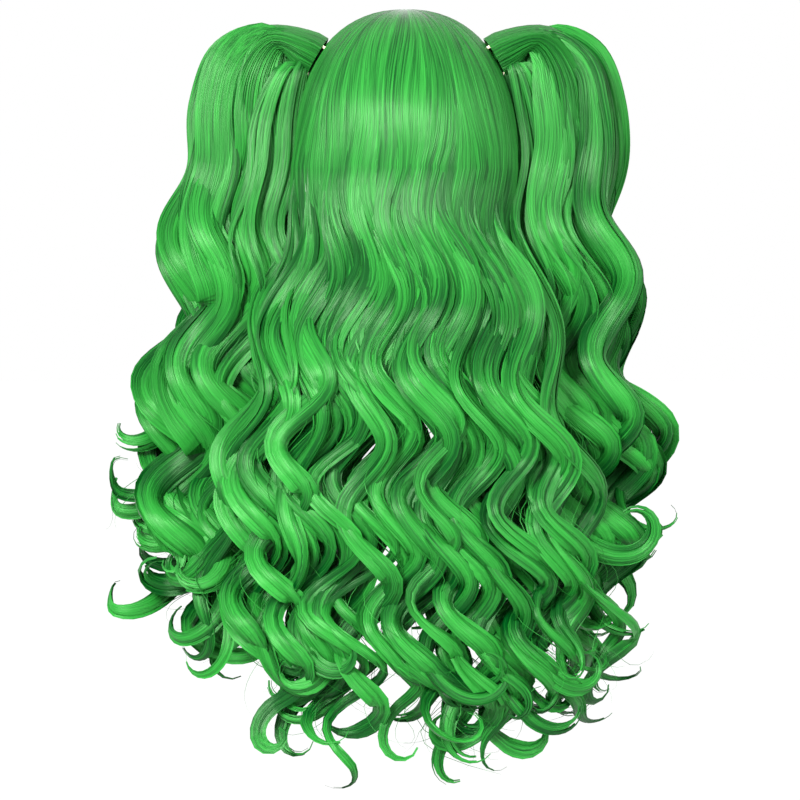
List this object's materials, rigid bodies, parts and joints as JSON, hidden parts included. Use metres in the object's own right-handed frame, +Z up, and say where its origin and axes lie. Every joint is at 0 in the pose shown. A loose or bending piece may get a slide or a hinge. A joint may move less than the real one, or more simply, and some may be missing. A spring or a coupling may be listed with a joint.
{
  "type": "wig with two clip-on ponytails",
  "caption": "Long green curly wig with a fringe and two clip-on ponytails, worn height, hollow for the head.",
  "frame": {"origin": "inside of the cap at its crown, where the top of the head carries the wig", "axes": "+Z up, +Y towards the face opening, +X to the right of a viewer who stands behind the wig"},
  "size_m": [0.4408, 0.26, 0.6051],
  "materials": {
    "hair_fibre": "glossy heat-set synthetic fibre",
    "cap_net": "knitted stretch net",
    "clip_plastic": "moulded, polished"
  },
  "bodies": {
    "root": {"wig_cap": "cap_net", "crown_hair": "hair_fibre", "back_hair": "hair_fibre", "nape_hair": "hair_fibre", "fringe": "hair_fibre", "side_hair_left": "hair_fibre", "side_hair_right": "hair_fibre", "ponytail_left": "hair_fibre", "ponytail_right": "hair_fibre", "clip_left": "clip_plastic", "clip_right": "clip_plastic"}
  },
  "joints": []
}
